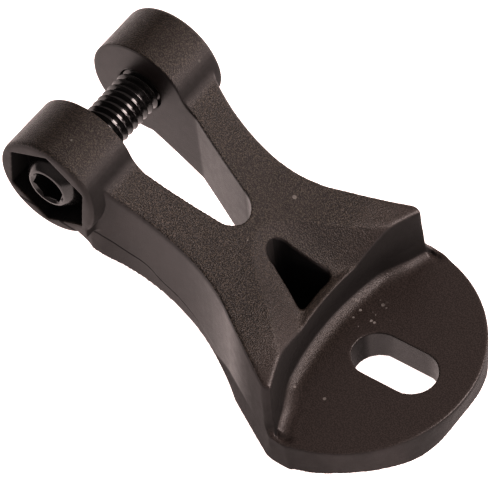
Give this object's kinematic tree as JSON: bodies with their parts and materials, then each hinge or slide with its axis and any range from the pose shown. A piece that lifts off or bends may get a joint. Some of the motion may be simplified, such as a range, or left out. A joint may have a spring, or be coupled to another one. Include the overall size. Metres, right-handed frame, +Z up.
{
  "type": "forked clamp bracket",
  "caption": "Moulded plastic forked bracket with a cross screw and nut through two round ears, a waisted body and a flat round-ended foot with a lengthwise slot.",
  "frame": {"origin": "middle of the foot slot, on the flat underside of the foot", "axes": "+X from the fork to the rounded end of the foot, along the slot; +Y along the cross screw from its head to its nut; +Z up out of the foot"},
  "size_m": [0.0573, 0.0348, 0.0333],
  "materials": {
    "moulding": "fine-grained satin, glass-filled nylon",
    "screw_steel": "black oxide, lightly oiled",
    "nut_steel": "zinc plated"
  },
  "bodies": {
    "bracket": {"bracket": "moulding"},
    "screw": {"clamp_screw": "screw_steel"},
    "nut": {"clamp_nut": "nut_steel"}
  },
  "joints": [
    {"name": "screw_turn", "type": "hinge", "parent": "bracket", "child": "screw", "pos_m": [-0.04, 0, 0.0262], "axis": [0, -1, 0], "range_deg": [0, 720]},
    {"name": "nut_travel", "type": "slide", "parent": "bracket", "child": "nut", "axis": [0, 1, 0], "range_m": [0, 0.002]}
  ],
  "couplings": [
    {"joint": "nut_travel", "follows": "screw_turn", "m_per_rad": 0.00015915}
  ]
}
